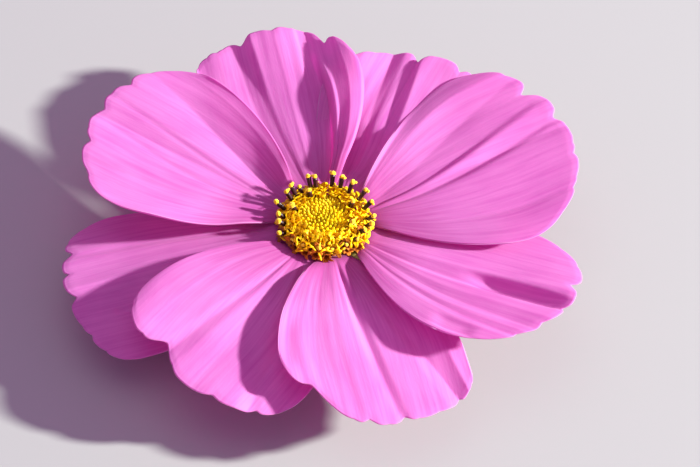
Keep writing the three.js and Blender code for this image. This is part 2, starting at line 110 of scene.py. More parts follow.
# The petals, counter-clockwise from the right.
PETALS = (
    Petal(
        name="petal_1", az=24.5, reach=40.7, skew=0.5, halves=(16.4, 18.4), ends=(28, 22),
        widest=31, slopes=(0.07, 0.05), rise=4.5, bend=1.0, shoulders=(1.0, 0.85),
        notches=((0.34, 2.0, 0.05), (0.08, 0.9, 0.04), (-0.2, 0.6, 0.03), (-0.44, 0.5, 0.03)),
        creases=(
            (1, 1, 0.8, -0.6, -0.2), (0.76, 0.78, 0.2, -0.2, -0.2), (0.54, 0.62, 0.1, 0.3, 0.1),
            (0.18, 0.5, -0.45, -0.6, -0.2), (0.01, 0.25, -0.15, -0.2, 0), (-0.03, 0.2, 0.4, 0.5, 0.3),
            (-0.08, 0.06, -0.05, -0.15, -0.1), (-0.12, 0.02, 0.2, 0.4, 0.25), (-0.36, -0.4, 0, 0.02, 0),
            (-0.4, -0.44, -0.08, -0.12, -0.06), (-0.44, -0.48, 0, 0.02, 0), (-1, -1, 0, 0.4, 0.5),
        ),
    ),
    Petal(
        name="petal_2", az=64, reach=36.7, skew=-0.4, halves=(13, 13), ends=(23, 30),
        widest=31, slopes=(-0.12, -0.1), rise=5.2, bend=0,
        notches=((0.03, 1.9, 0.05), (-0.32, 0.8, 0.04)),
        creases=(
            (1, 1, 0.5, 2.4, 2.0), (0.5, 0.5, 0.2, 1.0, 0.9), (0.1, 0.29, -0.1, -0.15, -0.5),
            (0.06, 0.17, 0, 0.1, 0.3), (0.03, 0.12, -0.1, 0, 0.2), (-0.06, 0.085, -0.2, -0.4, -0.4),
            (-0.17, 0.05, 0.3, 0.9, 0.5), (-0.3, -0.05, 0.2, 1.0, 0.5), (-0.4, -0.14, 0, 1.0, 0.5),
            (-0.6, -0.4, 0, 1.1, 0.8), (-1, -1, -0.3, -0.6, -1.0),
        ),
        dents=((-0.1, 15.5, -1.3, 0.6, 4),),
    ),
    Petal(
        name="petal_3", az=102, reach=39.8, skew=0, halves=(13.2, 11.8), ends=(34, 24),
        widest=30, slopes=(-0.12, 0), rise=2, bend=0.5,
        notches=((-0.42, 2.2, 0.05), (0.27, 1.0, 0.04), (0.01, 0.5, 0.04), (0.5, 0.5, 0.05)),
        creases=(
            (1, 1, 1.1, 2.0, 1.0), (0.45, 0.5, 0.55, 0.8, 0.35), (0.26, 0.33, 0.25, 0.1, -0.2),
            (0.165, 0.24, 0.15, 0.15, 0.1), (0.12, 0.19, 0.3, 0.4, 0.9), (-0.05, -0.1, 0.1, 0.2, 0.35),
            (-0.13, -0.165, 0.05, 0.4, 0.3), (-0.18, -0.19, -0.1, 0.1, 0), (-0.38, -0.22, -0.1, 0.1, 0),
            (-0.44, -0.27, 1.8, 2.8, 0), (-0.49, -0.31, 1.6, 2.6, 0.5), (-0.63, -0.52, 2.6, 3.3, 1.8),
            (-0.84, -0.8, 2.6, 3.2, 2.4), (-1, -1, 2.1, 2.8, 2.2),
        ),
    ),
    Petal(
        name="petal_4", az=151, reach=40.5, skew=-1.0, halves=(16.3, 14.4), ends=(23, 27),
        widest=31, slopes=(0.08, 0.12), rise=4.5, bend=1.0,
        notches=((0.23, 1.3, 0.05), (-0.05, 1.0, 0.05), (-0.32, 1.2, 0.05), (0.5, 0.5, 0.05)),
        creases=(
            (1, 1, 0.9, 2.4, 1.8), (0.3, 0.41, 0.02, 0.03, 0.02), (0.27, 0.38, -0.08, -0.12, -0.08),
            (0.24, 0.35, 0.02, 0.02, 0.02), (0.19, 0.06, 0.02, 0.03, 0.02), (0.16, 0.03, -0.1, -0.14, -0.1),
            (0.13, 0, 0.02, 0.03, 0.02), (0, -0.14, 0.02, 0.03, 0.02), (-0.03, -0.17, -0.1, -0.14, -0.1),
            (-0.06, -0.2, 0, 0, 0), (-0.21, -0.56, -1.0, -0.9, -0.3), (-0.62, -0.78, 0.9, 0.4, 0),
            (-0.93, -0.94, 1.2, 0.8, 0.2), (-1, -1, 1.0, 0.6, 0.1),
        ),
    ),
    Petal(
        name="petal_5", az=195.8, reach=40.7, skew=0, halves=(14.3, 14.6), ends=(32.5, 29.5),
        widest=31, slopes=(-0.13, -0.14), rise=-3.2, bend=0,
        notches=((-0.31, 1.6, 0.05), (-0.13, 1.0, 0.02), (0.07, 1.3, 0.04), (0.42, 0.6, 0.04)),
        creases=(
            (1, 1, 0, -0.4, -0.4), (0.4, 0.44, 0, 0.05, 0), (0.36, 0.4, -0.05, -0.06, 0),
            (0.3, 0.34, 0, 0.05, 0), (0.06, 0.07, 0, -0.1, -0.1), (-0.16, -0.24, 0.15, 0.25, 0.2),
            (-0.2, -0.28, 0, 0.1, 0), (-0.24, -0.32, 0.1, 0.1, 0.1), (-0.6, -0.6, -0.5, -0.9, -0.6),
            (-1, -1, -1.0, -2.0, -1.6),
        ),
        dents=((0.27, 33.4, -0.25, 0.035, 0.8),),
    ),
    Petal(
        name="petal_6", az=235, reach=37.0, skew=0.5, halves=(15.4, 14.3), ends=(27, 27),
        widest=27, slopes=(-0.12, 0.12), rise=1, bend=0,
        notches=((-0.25, 3.4, 0.12), (0.22, 0.4, 0.04), (0.52, 0.5, 0.04)),
        creases=(
            (1, 1, 0, -0.8, -0.9), (0.3, 0.6, 0.1, -0.2, -0.4), (0.22, 0.52, -0.2, -0.5, -0.6),
            (0.14, 0.42, 0.1, 0, -0.1), (0.04, 0.08, -0.05, -0.1, -0.06), (0, 0.02, 0.05, 0.05, 0.03),
            (-0.02, -0.13, 0.1, 0.1, 0.05), (-0.06, -0.25, -0.15, -0.2, -0.4), (-0.1, -0.34, 0.05, 0.1, 0),
            (-0.4, -0.6, 0.05, 0.1, 0.1), (-1, -1, 0, -0.2, 0.1),
        ),
    ),
    Petal(
        name="petal_7", az=283, reach=38.9, skew=0, halves=(14.9, 12.7), ends=(31.5, 23.3),
        widest=27, slopes=(-0.08, 0.1), rise=1, bend=-1.0,
        notches=((0.14, 1.1, 0.04), (-0.1, 1.0, 0.05), (-0.5, 3.8, 0.2), (0.6, 0.5, 0.04)),
        creases=(
            (1, 1, 0, 0, 0.1), (0.45, 0.8, 0.2, 0.4, 0.5), (0.16, 0.65, -0.15, -0.5, -0.4),
            (0.12, 0.5, 0, 0, 0.1), (0.06, 0.17, 0.15, 0.15, 0.1), (0, 0.12, -0.4, -0.35, -0.2),
            (-0.05, 0.08, 0.1, 0.1, 0.08), (-0.15, -0.1, 0.1, 0.1, 0.05), (-0.2, -0.16, 0, 0, -0.08),
            (-0.3, -0.47, -0.1, -0.15, -0.1), (-0.5, -0.65, 0.2, 0.2, 0.1), (-1, -1, 0.8, 1.4, 2.8),
        ),
        dents=((-0.82, 22.5, -0.45, 0.22, 4.5),),
    ),
    Petal(
        name="petal_8", az=334.7, reach=41.0, skew=0.5, halves=(12.6, 13.9), ends=(25, 24.5),
        widest=28, slopes=(-0.15, 0.12), rise=5, bend=0.5,
        notches=((0.12, 1.5, 0.04), (-0.1, 0.9, 0.03), (-0.3, 0.6, 0.04), (-0.5, 0.5, 0.04)),
        creases=(
            (1, 1, 0, 0, 0), (0.5, 0.5, 0, 0.1, 0.2), (0, 0.12, 0.15, 0.3, 0.5),
            (-0.03, 0.05, 0.2, 0.35, 0.6), (-0.13, -0.11, -0.2, -0.5, -0.3), (-0.18, -0.16, 0.1, 0.15, 0),
            (-0.24, -0.25, 0.05, 0.15, 0.2), (-0.3, -0.38, -0.1, -0.25, -0.2),
            (-0.36, -0.46, 0.05, 0.1, 0.1), (-0.4, -0.55, -0.1, -0.12, -0.1), (-0.46, -0.62, 0.1, 0.1, 0),
            (-1, -1, 0, -0.4, -0.6),
        ),
        dents=((-0.075, 32.5, -1.35, 0.062, 7.2), (-0.68, 26.5, -0.4, 0.12, 3)),
    ),
)

# Rings of florets on the disc: foot distance and height, lean in degrees, length of the tube.
INNER_RING = (3.5, 10.4, 22, 2.1)
MIDDLE_RING = (3.95, 10.2, 31, 2.4)
OUTER_RING = (4.3, 10.1, 36, 2.7)
SPENT_RING = (4.75, 9.95, 58, 2.4)
INNER_COUNT = 15
MIDDLE_COUNT = 17
MIDDLE_FIRST = 0.4  # share of a step by which the middle ring is turned
SPENT_COUNT = 26
SPENT_FIRST_AZ = 9
SPENT_FRONT = (185, 325)  # azimuths between which the rim's florets have withered
# Outer florets with a standing anther column: azimuth, lean and height of the pollen.
STANDING_ANTHERS = (
    (-17, 46, 4.3), (-6, 44, 4.4), (14, 40, 4.6), (32, 38, 4.8), (52, 33, 4.6), (67, 31, 4.7),
    (80, 34, 4.9), (104, 28, 4.6), (112, 33, 4.8), (128, 32, 3.8), (138, 34, 4.7), (148, 35, 4.5),
    (165, 46, 4.6), (180, 44, 3.9), (192, 46, 4.0), (205, 58, 3.9),
)
# Outer florets in front, whose short columns stand among curled styles.
FRONT_ANTHERS = (
    (221, 50, 3.0), (239, 48, 2.8), (262, 44, 2.9), (280, 48, 2.8), (299, 44, 3.4), (316, 46, 3.4),
    (331, 42, 3.9), (342, 50, 3.6),
)
FRONT_POLLEN = 0.75  # their balls of pollen, against the others
INNER_ANTHERS = {1: 3.4, 5: 3.3, 7: 3.5, 14: 3.0}  # inner florets with a column: height of the pollen
ANTHER_RADIUS = 0.42
DOME_FALL = 0.04  # how fast the dome of buds falls away, in mm for a square mm
GOLDEN_ANGLE = 137.508  # degrees from one bud to the next


def linear(hex_colour):
    """Linear RGB of an sRGB hex colour."""
    digits = hex_colour.lstrip("#")
    channels = [int(digits[i : i + 2], 16) / 255 for i in (0, 2, 4)]
    return tuple(c / 12.92 if c <= 0.04045 else ((c + 0.055) / 1.055) ** 2.4 for c in channels)


def colour(name, description, hex_colour):
    """A colour that a user may change."""
    rgb = linear(hex_colour)
    return FloatVectorProperty(
        name=name, description=description, subtype="COLOR", size=3, min=0, max=1, default=rgb
    )


def size(name, description, default):
    """A size in millimetres that a user may change."""
    return FloatProperty(name=name, description=description + ", in mm", default=default, min=0)


class PetalSettings(bpy.types.PropertyGroup):
    """Sizes and colours of the petals."""

    thickness: size("Thickness", "Petal thickness in the middle", 0.34)
    rim_thickness: size("Rim thickness", "Petal thickness at the margin", 0.14)
    vein_count: IntProperty(
        name="Veins", description="Fine veins across one petal", default=30, min=5, max=60
    )
    vein_height: size("Vein height", "How far a vein stands out", 0.0015)
    ripple_height: size("Ripple height", "Height of the fine lengthwise ripples", 0.018)
    pleat_height: size("Pleat height", "Height of the short pleats beside the disc", 0.02)
    tooth_depth: size("Tooth depth", "Depth of the small teeth of the tip", 0.28)
    fold_share: FloatProperty(
        name="Fold height", description="Share of its listed height that a crease has", default=1.0, min=0
    )
    face: colour("Face", "Upper face of the blade", "#F49DE4")
    streak: colour("Streak", "Darker lengthwise streaks and veins", "#E27AD0")
    # Painted shade: a deep magenta painted on the blade beside the disc.
    painted_disc_shade: colour("Throat", "Deep colour beside the disc", "#C0248C")
    back: colour("Back", "Paler underside", "#E8A0E0")
    rim: colour("Rim", "Pale thin margin", "#F3C6EE")
    through: colour("Light through", "Colour of light that comes through the blade", "#F030CC")


class DiscSettings(bpy.types.PropertyGroup):
    """Sizes and colours of the disc."""

    bud_count: IntProperty(name="Buds", description="Closed buds on the dome", default=165, min=10, max=200)
    bud_spread: size("Bud spread", "How far apart the buds stand", 0.29)
    bud_radius: size("Bud radius", "Radius of the middle buds", 0.31)
    pollen_radius: size("Pollen radius", "Radius of a ball of pollen", 0.39)
    bud: colour("Bud", "Closed buds", "#FFEA10")
    bud_foot: colour("Bud foot", "Olive foot of the buds", "#E0CA0A")
    open_floret: colour("Open floret", "Open corollas and styles", "#FFE200")
    # Painted shade: a deeper yellow painted down the open florets' tubes and in their mouths, and on the
    # underside of the pollen balls.
    painted_yellow_shade: colour("Floret foot", "Deeper foot of the open corollas", "#E8B400")
    withered_floret: colour("Withered floret", "Withered corollas at the rim", "#B96C06")
    withered_foot: colour("Withered foot", "Foot of the withered corollas", "#6A2606")
    anther: colour("Anther", "Anther columns", "#33100F")
    pollen: colour("Pollen", "Balls of pollen", "#F9D824")


class GreenSettings(bpy.types.PropertyGroup):
    """Colours of the stalk and the bracts."""

    stalk: colour("Stalk", "Stalk and receptacle", "#6F9145")
    bract: colour("Outer bract", "Green outer bracts", "#4F7A37")
    membrane: colour("Inner bract", "Thin inner bracts", "#B4B660")
    membrane_vein: colour("Inner bract vein", "Foot of the inner bracts", "#7E7A2C")


class StageSettings(bpy.types.PropertyGroup):
    """The floor, the lights and the camera."""

    floor: colour("Floor", "Plain pale floor", "#A5AAA2")
    elevation: FloatProperty(
        name="Elevation", description="Camera above the horizon", subtype="ANGLE", default=math.radians(50)
    )
    distance: size("Distance", "Camera to the flower", 600.0)
    key_power: FloatProperty(
        name="Key light", description="Power of the key light", unit="POWER", default=106.0
    )
    fill_power: FloatProperty(
        name="Fill light", description="Power of the overhead light", unit="POWER", default=0.6
    )


def smooth(low, high, value):
    """An eased step from 0 at low to 1 at high."""
    x = np.clip((value - low) / (high - low), 0, 1)
    return x * x * (3 - 2 * x)


def crease(place, width, value):
    """A fold's or a notch's cross-section, with a crest that is a little sharp."""
    return np.exp(-(np.abs((value - place) / width) ** 1.5))


def pit(place, width, value):
    """A dent's cross-section, with a flat floor and steep walls."""
    return np.exp(-(((value - place) / width) ** 4))


def spun(x, y, angle):
    """x and y, turned by an angle in radians."""
    c, s = math.cos(angle), math.sin(angle)
    return x * c - y * s, x * s + y * c


def add_mesh(name, points, faces, material, values=None, smooth_faces=True):
    """A mesh object from points in mm and faces, with named values per point."""
    mesh = bpy.data.meshes.new(name)
    mesh.from_pydata((np.asarray(points) * MM).tolist(), [], [list(map(int, f)) for f in faces])
    for key, numbers in (values or {}).items():
        attribute = mesh.attributes.new(key, "FLOAT", "POINT")
        attribute.data.foreach_set("value", np.asarray(numbers, dtype=np.float32))
    mesh.polygons.foreach_set("use_smooth", [smooth_faces] * len(mesh.polygons))
    mesh.materials.append(material)
    mesh.update()
    piece = bpy.data.objects.new(name, mesh)
    bpy.context.scene.collection.objects.link(piece)
    return piece


def settle(piece, node):
    """Ties a piece to the flower's body and hides the solid that it stands for."""
    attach(piece, BODY)
    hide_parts(node)


class Heap:
    """Gathers many small shapes into one mesh, with named values per point."""

    def __init__(self):
        self.points = []
        self.faces = []
        self.values = {}
        self.count = 0

    def add(self, points, faces, **values):
        """Adds a shape; a value is one number for all of its points, or one for each."""
        self.points.append(points)
        self.faces.extend([i + self.count for i in face] for face in faces)
        self.count += len(points)
        for key, numbers in values.items():
            self.values.setdefault(key, []).append(np.broadcast_to(numbers, len(points)))

    def make(self, name, material):
        """The one mesh object that all the shapes make."""
        values = {key: np.concatenate(parts) for key, parts in self.values.items()}
        return add_mesh(name, np.concatenate(self.points), self.faces, material, values)


def ring_faces(rings, sides, looped=False):
    """Faces of a tube of rings, closed with flat ends, or joined end to end if looped."""
    faces = []
    for i in range(rings if looped else rings - 1):
        first, following = i * sides, (i + 1) % rings * sides
        for j in range(sides):
            k = (j + 1) % sides
            faces.append((first + j, first + k, following + k, following + j))
    if not looped:
        faces.append(tuple(range(sides - 1, -1, -1)))
        faces.append(tuple(range((rings - 1) * sides, rings * sides)))
    return faces


def sheet_solid(centre, half):
    """Points and faces of a thin solid from a grid of middle points and its half-thicknesses."""
    index = np.arange(centre.shape[0] * centre.shape[1]).reshape(centre.shape[:2])
    a, b, c, d = index[:-1, :-1], index[1:, :-1], index[1:, 1:], index[:-1, 1:]
    top = np.stack([a, b, c, d], -1).reshape(-1, 4)
    bottom = np.stack([d, c, b, a], -1).reshape(-1, 4) + index.size
    border = np.concatenate([index[:, 0], index[-1, 1:], index[-2::-1, -1], index[0, -2:0:-1]])
    following = np.roll(border, -1)
    edge = np.stack([border, border + index.size, following + index.size, following], -1)
    points = np.concatenate([(centre + half).reshape(-1, 3), (centre - half).reshape(-1, 3)])
    return points, np.concatenate([top, bottom, edge]).tolist()


def thickened(centre, thickness):
    """Points and faces of a thin solid from a grid of middle points and the thickness at each."""
    normal = np.cross(np.gradient(centre, axis=0), np.gradient(centre, axis=1))
    normal /= np.linalg.norm(normal, axis=-1, keepdims=True)
    return sheet_solid(centre, normal * (thickness / 2)[..., None])


def turned(profile, sides, ribs=0, rib_depth=0.0, looped=False):
    """Points and faces of a turned shape from (radius, height) pairs, ribbed if asked.

    rib_depth is the share of the radius that the grooves take, at each pair or at all of them.
    """
    angles = np.linspace(0, 2 * math.pi, sides, endpoint=False)
    groove = 0.5 - 0.5 * np.cos(ribs * angles)
    rows = []
    for (radius, height), depth in zip(profile, np.broadcast_to(rib_depth, len(profile))):
        r = radius * (1 - depth * groove)
        rows.append(np.stack([r * np.cos(angles), r * np.sin(angles), np.full(sides, height)], -1))
    return np.concatenate(rows), ring_faces(len(profile), sides, looped)


def tube(path, radii, sides):
    """Points and faces of a closed tube along a path, with a radius for each point of it."""
    path = np.asarray(path, float)
    tangents = np.gradient(path, axis=0)
    tangents /= np.linalg.norm(tangents, axis=1, keepdims=True)
    side = np.cross(tangents[0], (0.3, 0.5, 0.81))
    angles = np.linspace(0, 2 * math.pi, sides, endpoint=False)
    rows = []
    for centre, tangent, radius in zip(path, tangents, radii):
        side = side - tangent * side.dot(tangent)
        side /= np.linalg.norm(side)
        other = np.cross(tangent, side)
        rows.append(centre + radius * (np.cos(angles)[:, None] * side + np.sin(angles)[:, None] * other))
    return np.concatenate(rows), ring_faces(len(path), sides)


def planted(points, az, ring, spin):
    """Points made along +Z, turned and moved so that their foot stands on a ring of the disc."""
    foot_u, foot_z, lean = ring[:3]
    x, y = spun(points[:, 0], points[:, 1], spin)
    up, out = spun(points[:, 2], x, math.radians(lean))
    x, y = spun(out + foot_u, y, math.radians(az))
    return np.stack([x, y, up + foot_z], -1)


def turn_z(points, az):
    """Points turned about the axis by an azimuth in degrees."""
    return np.stack([*spun(points[:, 0], points[:, 1], math.radians(az)), points[:, 2]], -1)


# Materials.


def add_node(tree, kind, inputs=None, **settings):
    """Adds a node with its settings; an input is a value, or a socket to link from."""
    node = tree.nodes.new(kind)
    for key, value in settings.items():
        setattr(node, key, value)
    for key, value in (inputs or {}).items():
        if isinstance(value, bpy.types.NodeSocket):
            tree.links.new(value, node.inputs[key])
        else:
            node.inputs[key].default_value = value
    return node


def new_material(name):
    """A material with an empty tree and its output."""
    material = bpy.data.materials.new(name)
    material.use_nodes = True
    tree = material.node_tree
    tree.nodes.clear()
    return material, tree, add_node(tree, "ShaderNodeOutputMaterial")


def rgba(rgb):
    """A colour as a node's socket takes it."""
    return (*rgb, 1.0)


# Patterns on a petal: cells across half of a 28 mm wide blade, cells for a millimetre along it,
# and how far the pattern moves from one petal to the next.
STREAK_CELLS = (22.0, 0.07, 7.0)  # 0.65 mm wide and 14 mm long
VEIN_CELLS = (9.5, 0.012, 3.0)  # with the wave's own scale, a vein every millimetre or so
CLOUD_CELLS = (1.6, 0.09, 5.0)  # 9 mm wide and 11 mm long
SKIN_CELLS = (52.0, 1.1, 3.0)  # 0.27 mm wide, coarser than life so that they show
SKIN_RELIEF = 0.00006
# Patterns on other tissue: cells for a metre, and their relief in metres.
TISSUE_GRAIN = (900.0, 0.00008)  # 1.1 mm apart, with finer ones inside them
POLLEN_GRAIN = (3500.0, 0.0001)  # 0.3 mm apart, where a grain is 0.03 mm, so that they show
PLANT_IOR = 1.4


def petal_material(look):
    """Living petal tissue: a thin, velvety epidermis that glows magenta where light comes through.

    Fine veins run its whole length and fan out with the blade; between them the colour comes in
    faint streaks. Beside the disc it is darkened with painted shade, and the underside is paler.
    """
    material, tree, output = new_material("petal tissue, satin")
    side, run, under, rim, seed = (
        add_node(tree, "ShaderNodeAttribute", attribute_name=name).outputs["Fac"]
        for name in ("side", "run", "under", "rim", "seed")
    )
    place = add_node(tree, "ShaderNodeCombineXYZ", {"X": side, "Y": run, "Z": seed}).outputs[0]
    streak_place, vein_place, cloud_place, skin_place = (
        add_node(tree, "ShaderNodeVectorMath", {0: place, 1: cells}, operation="MULTIPLY").outputs[0]
        for cells in (STREAK_CELLS, VEIN_CELLS, CLOUD_CELLS, SKIN_CELLS)
    )
    streaks = add_node(
        tree, "ShaderNodeTexNoise", {"Vector": streak_place, "Scale": 1.0, "Detail": 3.0, "Roughness": 0.6}
    ).outputs["Fac"]
    clouds, cells = (
        add_node(tree, "ShaderNodeTexNoise", {"Vector": where, "Scale": 1.0, "Detail": 2.0}).outputs["Fac"]
        for where in (cloud_place, skin_place)
    )
    veins = add_node(
        tree,
        "ShaderNodeTexWave",
        {"Vector": vein_place, "Scale": 0.5, "Distortion": 5.0, "Detail": 2.0, "Detail Scale": 1.2},
        wave_type="BANDS",
        bands_direction="X",
    ).outputs["Fac"]
    # How strongly each pattern shows: veins 0.15 mm wide, so that they can be seen, and soft clouds.
    streak_amount, vein_amount, cloud_amount = (
        add_node(tree, "ShaderNodeMapRange", {0: pattern, 1: none, 2: full, 3: 0.0, 4: most}).outputs[0]
        for pattern, none, full, most in (
            (streaks, 0.42, 0.72, 0.65), (veins, 0.16, 0.0, 0.2), (clouds, 0.42, 0.7, 0.45)
        )
    )
    lines = add_node(
        tree, "ShaderNodeMath", {0: streak_amount, 1: vein_amount}, operation="MAXIMUM"
    ).outputs[0]
    marks = add_node(tree, "ShaderNodeMath", {0: lines, 1: cloud_amount}, operation="ADD").outputs[0]
    faint = add_node(tree, "ShaderNodeMath", {0: marks, 1: 0.55}, operation="MULTIPLY").outputs[0]
    # The painted shade beside the disc fades out by about 10 mm from it, in uneven tongues.
    shade_tongues = add_node(tree, "ShaderNodeMath", {0: streaks, 1: 9.0}, operation="MULTIPLY").outputs[0]
    reach = add_node(tree, "ShaderNodeMath", {0: run, 1: shade_tongues}, operation="SUBTRACT").outputs[0]
    # The rim is paler at its very edge.
    painted_disc_shade_amount, rim_amount = (
        add_node(tree, "ShaderNodeMapRange", {0: value, 1: none, 2: full, 3: 0.0, 4: most}).outputs[0]
        for value, none, full, most in ((reach, 10.0, -0.5, 0.6), (rim, 0.9, 1.0, 0.5))
    )
    top, below = (
        add_node(tree, "ShaderNodeMix", {0: share, 6: rgba(plain), 7: rgba(look.streak)}, data_type="RGBA")
        for share, plain in ((marks, look.face), (faint, look.back))
    )
    skin_colour = add_node(
        tree, "ShaderNodeMix", {0: under, 6: top.outputs[2], 7: below.outputs[2]}, data_type="RGBA"
    ).outputs[2]
    for share, other in ((painted_disc_shade_amount, look.painted_disc_shade), (rim_amount, look.rim)):
        skin_colour = add_node(
            tree, "ShaderNodeMix", {0: share, 6: skin_colour, 7: rgba(other)}, data_type="RGBA"
        ).outputs[2]
    relief = add_node(tree, "ShaderNodeMath", {0: streaks, 1: cells}, operation="ADD").outputs[0]
    normal = add_node(
        tree, "ShaderNodeBump", {"Strength": 0.3, "Distance": SKIN_RELIEF, "Height": relief}
    ).outputs[0]
    skin = add_node(
        tree,
        "ShaderNodeBsdfPrincipled",
        {
            "Base Color": skin_colour,
            "Roughness": 0.6,
            "IOR": PLANT_IOR,
            "Specular IOR Level": 0.4,
            "Sheen Weight": 0.15,
            "Sheen Roughness": 0.45,
            "Normal": normal,
        },
    )
    glow_colour = add_node(
        tree,
        "ShaderNodeMix",
        {0: 0.75, 6: skin_colour, 7: rgba(look.through)},
        data_type="RGBA",
        blend_type="MULTIPLY",
    )
    glow = add_node(tree, "ShaderNodeBsdfTranslucent", {"Color": glow_colour.outputs[2], "Normal": normal})
    tissue = add_node(tree, "ShaderNodeMixShader", {0: 0.5, 1: skin.outputs[0], 2: glow.outputs[0]})
    tree.links.new(tissue.outputs[0], output.inputs[0])
    return material


def plain_tissue(name, foot, tip, roughness, through=0.0, spread=0.25, grain=TISSUE_GRAIN, sheen=0.0):
    """Plant tissue that changes from a foot colour to a tip colour, mottled with a fine grain.

    It reads two values of each point: along, 0 at the foot and 1 at the tip, and tone, which
    differs from one small piece to the next. through is the share of light that comes through.
    """
    cells, height = grain
    material, tree, output = new_material(name)
    along, tone = (
        add_node(tree, "ShaderNodeAttribute", attribute_name=key).outputs["Fac"] for key in ("along", "tone")
    )
    where = add_node(tree, "ShaderNodeTexCoord").outputs["Object"]
    mottle = add_node(tree, "ShaderNodeTexNoise", {"Vector": where, "Scale": cells, "Detail": 3.0}).outputs[0]
    blend = add_node(tree, "ShaderNodeMix", {0: along, 6: rgba(foot), 7: rgba(tip)}, data_type="RGBA")
    shade = add_node(tree, "ShaderNodeMath", {0: mottle, 1: tone}, operation="ADD").outputs[0]
    value = add_node(
        tree, "ShaderNodeMapRange", {0: shade, 1: 0.3, 2: 1.5, 3: 1 - spread, 4: 1 + spread}
    ).outputs[0]
    tinted = add_node(tree, "ShaderNodeHueSaturation", {"Value": value, "Color": blend.outputs[2]}).outputs[0]
    normal = add_node(tree, "ShaderNodeBump", {"Strength": 0.5, "Distance": height, "Height": mottle})
    skin = add_node(
        tree,
        "ShaderNodeBsdfPrincipled",
        {
            "Base Color": tinted,
            "Roughness": roughness,
            "IOR": PLANT_IOR,
            "Sheen Weight": sheen,
            "Normal": normal.outputs[0],
        },
    )
    if through:
        glow = add_node(tree, "ShaderNodeBsdfTranslucent", {"Color": tinted})
        skin = add_node(tree, "ShaderNodeMixShader", {0: through, 1: skin.outputs[0], 2: glow.outputs[0]})
    tree.links.new(skin.outputs[0], output.inputs[0])
    return material


def floor_material(look):
    """Matt painted board: flat paint gives light back evenly, without a glint."""
    material, tree, output = new_material("matt painted board")
    skin = add_node(tree, "ShaderNodeBsdfPrincipled", {"Base Color": rgba(look.floor), "Roughness": 0.9})
    tree.links.new(skin.outputs[0], output.inputs[0])
    return material


# Petals.

# Distances from the axis over which the slopes, the creases and the ripples set in.
SLOPES_FADE = (5.5, 9)
CREASES_FADE = (6.5, 11)
RIPPLES_FADE = (8, 14)
TIP_WAVE = 0.3
PETAL_COLUMNS = 241
# Bands of rows over a petal's length: where each starts and stops, as a share of it, and its rows.
PETAL_BANDS = ((0, 0.13, 10), (0.13, 0.86, 46), (0.86, 1, 18))
# Width of a margin: in mm at the tip, and as a share of the half-width at the sides.
THIN_MARGIN = (1.2, 0.08)
PALE_MARGIN = (0.6, 0.03)


def petal_end(petal, across, teeth):
    """Where a petal ends, from the axis, at places across it."""
    corner = np.where(across >= 0, *petal.ends)
    lean = petal.skew * np.sin(across * math.pi / 2)
    rounding = np.abs(np.cos(across * math.pi / 2)) ** 0.9
    end = corner + (petal.reach + lean - corner) * rounding
    for place, depth, width in petal.notches:
        end = end - depth * crease(place, width, across)
    return end - teeth


def folded(creases, across, progress):
    """Height of a sheet folded along creases, listed from left to right, with rounded edges."""
    far = np.clip(progress, 0, 1) ** CREASE_BOW
    near_share = 1 - smooth(0.15, 0.5, progress)
    far_share = smooth(0.5, 1.0, progress)

    def place(line):
        return line[0] + (line[1] - line[0]) * far

    def height(line):
        return line[2] * near_share + line[3] * (1 - near_share - far_share) + line[4] * far_share

    total = np.zeros_like(across)
    offsets = np.linspace(-1, 1, 5) * CREASE_SOFTNESS
    for offset in offsets:
        total += height(creases[-1])
        for left, right in zip(creases[:-1], creases[1:]):
            start, stop = place(right), place(left)
            share = np.clip((across + offset - start) / (stop - start), 0, 1)
            total += (height(left) - height(right)) * share
    return total / len(offsets)


def petal_surface(petal, along, across, teeth, ripple, fold_share):
    """Points of a petal's middle surface, how far each is along it and how long it is there."""
    length = CLAW_LENGTH + petal_end(petal, across, teeth) - BLADE_U
    run = along * length
    turn = np.minimum(run / CLAW_LENGTH, 1) * math.pi / 2
    blade_run = np.maximum(run - CLAW_LENGTH, 0)
    u = CLAW_FOOT_U + CLAW_REACH * (1 - np.cos(turn)) + blade_run
    shoulder, widest, slope = (
        np.where(across >= 0, *pair) for pair in (petal.shoulders, petal.halves, petal.slopes)
    )
    fullness = np.clip((u - WIDEN_U) / (petal.widest - WIDEN_U), 0, 1) ** shoulder
    half_width = CLAW_HALF_WIDTH + (widest - CLAW_HALF_WIDTH) * np.sin(fullness * math.pi / 2)
    v = half_width * np.sin(across * math.pi / 2)
    side = np.abs(v)
    z = SEAT_Z + CLAW_RISE * np.sin(turn)
    z = z + math.tan(math.radians(petal.rise)) * blade_run + petal.bend * (blade_run / DROOP_SPAN) ** 2
    lapping = slope * side + np.sign(slope) * LAYER_STEP * np.tanh(side / 2.5)
    z = z + smooth(*SLOPES_FADE, u) * lapping
    z = z + fold_share * smooth(*CREASES_FADE, u) * folded(petal.creases, across, blade_run / PETAL_SPAN)
    for place, distance, depth, wide, long in petal.dents:
        z = z + depth * pit(place, wide, across) * pit(distance, long, u)
    narrowing = (half_width / widest) ** 0.7
    z = z + ripple * narrowing * smooth(*RIPPLES_FADE, u)
    points = np.stack([*spun(u, v, math.radians(petal.az)), z], -1)
    return points, run, length


def waves(rng, across, lowest, highest, count):
    """A random sum of lengthwise waves, with heights of about one."""
    total = np.zeros_like(across)
    for _ in range(count):
        cycles = rng.uniform(lowest, highest)
        total += np.cos(2 * math.pi * cycles * across + rng.uniform(0, 2 * math.pi))
    return total / math.sqrt(count)


def inward(run, length, across, margin):
    """How far points are from a petal's edge, in widths of a margin."""
    at_tip, at_sides = margin
    return np.minimum((length - run) / at_tip, (1 - np.abs(across)) / at_sides)


